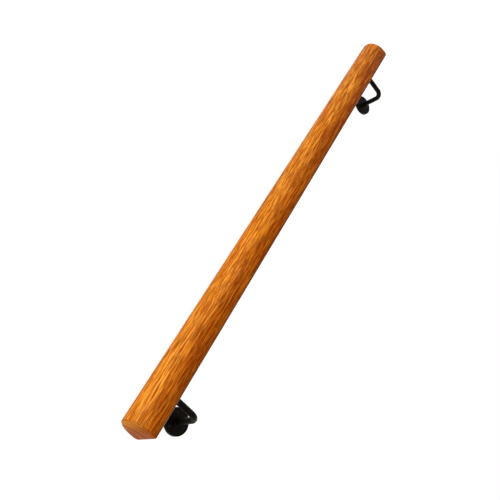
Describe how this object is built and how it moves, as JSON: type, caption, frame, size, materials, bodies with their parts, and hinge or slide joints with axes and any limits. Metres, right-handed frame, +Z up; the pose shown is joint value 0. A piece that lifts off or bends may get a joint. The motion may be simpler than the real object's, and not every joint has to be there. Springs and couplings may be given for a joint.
{
  "type": "stair handrail length with wall brackets",
  "caption": "Stained hardwood wall handrail with a flat base and rounded crown, on black bent-bar brackets with round wall roses.",
  "frame": {"origin": "centre of the footprint on the floor that the part lies on", "axes": "+X along the rail towards its lower end, +Y towards the bracket side as it lies, +Z up"},
  "size_m": [1, 0.1346, 0.0598],
  "materials": {
    "stained_hardwood": "stained and satin varnished",
    "black_steel": "satin black powder coat",
    "black_screw": "black plated screw"
  },
  "bodies": {
    "root": {"handrail": "stained_hardwood", "lower_saddle_plate": "black_steel", "lower_bracket_arm": "black_steel", "lower_wall_rose": "black_steel", "lower_saddle_screw_a": "black_screw", "lower_saddle_screw_b": "black_screw", "upper_saddle_plate": "black_steel", "upper_bracket_arm": "black_steel", "upper_wall_rose": "black_steel", "upper_saddle_screw_a": "black_screw", "upper_saddle_screw_b": "black_screw"}
  },
  "joints": []
}
